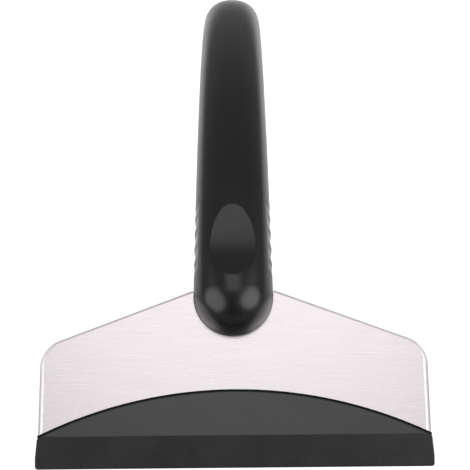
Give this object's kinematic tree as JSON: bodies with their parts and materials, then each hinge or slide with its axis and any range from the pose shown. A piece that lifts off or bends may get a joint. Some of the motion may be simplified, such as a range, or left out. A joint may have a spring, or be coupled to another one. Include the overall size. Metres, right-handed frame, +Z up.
{
  "type": "hand ice scraper",
  "caption": "Hand ice scraper: an arched round black grip behind a wide stainless head plate with a rolled rim and a straight black rubber scraping edge.",
  "frame": {"origin": "centre of the tool's box, on the table it lies on", "axes": "+X across the head to the right, +Y from the scraping edge to the end of the grip, +Z up from the table"},
  "size_m": [0.115, 0.2, 0.0461],
  "materials": {
    "grip_black": "satin-gloss moulded plastic",
    "pad_black": "finely textured soft plastic with raised ribs",
    "brushed_steel": "brushed along the width, rim polished",
    "blade_rubber": "matt moulded rubber",
    "screw_steel": "plain steel"
  },
  "bodies": {
    "root": {"upper_grip_shell": "grip_black", "lower_grip_shell": "grip_black", "right_grip_pad": "pad_black", "left_grip_pad": "pad_black", "head_plate": "brushed_steel", "edge_blade": "blade_rubber", "tang_screw_1": "screw_steel", "tang_screw_2": "screw_steel", "grip_screw_1": "screw_steel", "grip_screw_2": "screw_steel", "grip_screw_3": "screw_steel"}
  },
  "joints": []
}
